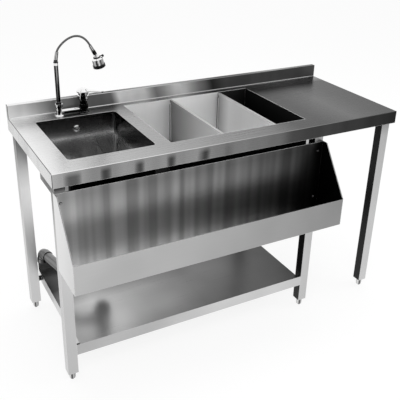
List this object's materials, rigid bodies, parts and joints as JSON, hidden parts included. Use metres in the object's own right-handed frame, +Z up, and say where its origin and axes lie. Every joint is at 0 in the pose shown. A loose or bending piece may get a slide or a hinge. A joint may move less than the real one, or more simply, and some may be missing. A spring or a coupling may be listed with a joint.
{
  "type": "bar sink with ice bin",
  "caption": "Free-standing steel bar station: sink bowl, divided ice bin, mixer tap with flexible spray neck, speed rail, undershelf and open bay",
  "frame": {"origin": "centre of the bounding box in plan, on the floor", "axes": "+X along the worktop from the sink to the plain end, +Y from the front to the upstand at the back, +Z up"},
  "size_m": [1.5, 0.74, 1.2111],
  "materials": {
    "brushed_steel": "fine brushed grain, satin",
    "chrome": "bright polished plating",
    "neck_steel": "ribbed flexible metal, bright",
    "black_plastic": "moulded, slightly satin",
    "rubber": "soft matt rubber",
    "foam": "rigid insulation foam, fine open pores",
    "brass": "machined",
    "ceramic": "smooth ground ceramic"
  },
  "bodies": {
    "frame": {"worktop": "brushed_steel", "channel_front": "brushed_steel", "channel_back": "brushed_steel", "channel_left": "brushed_steel", "channel_middle": "brushed_steel", "channel_bay": "brushed_steel", "channel_right": "brushed_steel", "top_stiffener": "brushed_steel", "leg_front_left": "brushed_steel", "leg_back_left": "brushed_steel", "leg_front_middle": "brushed_steel", "leg_back_middle": "brushed_steel", "leg_front_right": "brushed_steel", "leg_back_right": "brushed_steel", "undershelf": "brushed_steel", "shelf_spacers": "brushed_steel", "shelf_screws": "brushed_steel", "rail_tray": "brushed_steel", "rail_end_left": "brushed_steel", "rail_end_right": "brushed_steel", "rail_screws": "brushed_steel", "sink_bowl": "brushed_steel", "ice_bin_liner": "brushed_steel", "ice_bin_casing": "brushed_steel", "divider_guides": "brushed_steel", "ice_drain": "brushed_steel", "overflow_rosette": "chrome", "waste_flange": "chrome", "tap_body": "chrome", "tailpiece": "chrome", "bottle_trap": "chrome", "waste_pipe": "chrome", "leg_plugs": "black_plastic", "waste_nut": "black_plastic", "ice_drain_nut": "black_plastic", "overflow_pipe": "black_plastic", "waste_gasket": "rubber", "ice_bin_foam": "foam", "tap_backnuts": "brass", "mixer_cartridge": "ceramic"},
    "spout": {"spout_riser": "chrome", "neck_hose": "neck_steel", "neck_ferrules": "chrome"},
    "head": {"spray_head": "chrome", "spray_face": "black_plastic"},
    "selector": {"spray_selector": "black_plastic"},
    "spindle": {"mixer_spindle": "chrome"},
    "lever": {"mixer_lever": "chrome"},
    "basket": {"basket_strainer": "chrome"},
    "divider_a": {"divider_left": "brushed_steel"},
    "divider_b": {"divider_right": "brushed_steel"},
    "floor_a": {"ice_floor_left": "brushed_steel"},
    "floor_b": {"ice_floor_right": "brushed_steel"},
    "foot_front_left_body": {"foot_front_left": "chrome"},
    "foot_back_left_body": {"foot_back_left": "chrome"},
    "foot_front_middle_body": {"foot_front_middle": "chrome"},
    "foot_back_middle_body": {"foot_back_middle": "chrome"},
    "foot_front_right_body": {"foot_front_right": "chrome"},
    "foot_back_right_body": {"foot_back_right": "chrome"}
  },
  "joints": [
    {"name": "spout_swivel", "type": "hinge", "parent": "frame", "child": "spout", "pos_m": [-0.554, 0.311, 0.95], "axis": [0, 0, 1], "continuous": true},
    {"name": "head_tilt", "type": "hinge", "parent": "spout", "child": "head", "pos_m": [-0.387, 0.311, 1.118], "axis": [0, 1, 0], "range_deg": [-18, 18]},
    {"name": "selector_turn", "type": "hinge", "parent": "head", "child": "selector", "pos_m": [-0.387, 0.311, 1.118], "axis": [0.2419, 0, -0.9703], "range_deg": [0, 60]},
    {"name": "mixer_turn", "type": "hinge", "parent": "frame", "child": "spindle", "pos_m": [-0.451, 0.311, 0.96], "axis": [0, 0, 1], "range_deg": [-45, 45]},
    {"name": "lever_lift", "type": "hinge", "parent": "spindle", "child": "lever", "pos_m": [-0.451, 0.311, 0.977], "axis": [-0.7431, -0.6691, 0], "range_deg": [0, 25]},
    {"name": "basket_lift", "type": "slide", "parent": "frame", "child": "basket", "axis": [0, 0, 1], "range_m": [0, 0.3]},
    {"name": "divider_left_lift", "type": "slide", "parent": "frame", "child": "divider_a", "axis": [0, 0, 1], "range_m": [0, 0.25]},
    {"name": "divider_right_lift", "type": "slide", "parent": "frame", "child": "divider_b", "axis": [0, 0, 1], "range_m": [0, 0.25]},
    {"name": "ice_floor_left_lift", "type": "slide", "parent": "frame", "child": "floor_a", "axis": [0, 0, 1], "range_m": [0, 0.25]},
    {"name": "ice_floor_right_lift", "type": "slide", "parent": "frame", "child": "floor_b", "axis": [0, 0, 1], "range_m": [0, 0.25]},
    {"name": "foot_front_left_screw", "type": "slide", "parent": "frame", "child": "foot_front_left_body", "axis": [0, 0, -1], "range_m": [0, 0.018]},
    {"name": "foot_back_left_screw", "type": "slide", "parent": "frame", "child": "foot_back_left_body", "axis": [0, 0, -1], "range_m": [0, 0.018]},
    {"name": "foot_front_middle_screw", "type": "slide", "parent": "frame", "child": "foot_front_middle_body", "axis": [0, 0, -1], "range_m": [0, 0.018]},
    {"name": "foot_back_middle_screw", "type": "slide", "parent": "frame", "child": "foot_back_middle_body", "axis": [0, 0, -1], "range_m": [0, 0.018]},
    {"name": "foot_front_right_screw", "type": "slide", "parent": "frame", "child": "foot_front_right_body", "axis": [0, 0, -1], "range_m": [0, 0.018]},
    {"name": "foot_back_right_screw", "type": "slide", "parent": "frame", "child": "foot_back_right_body", "axis": [0, 0, -1], "range_m": [0, 0.018]}
  ]
}
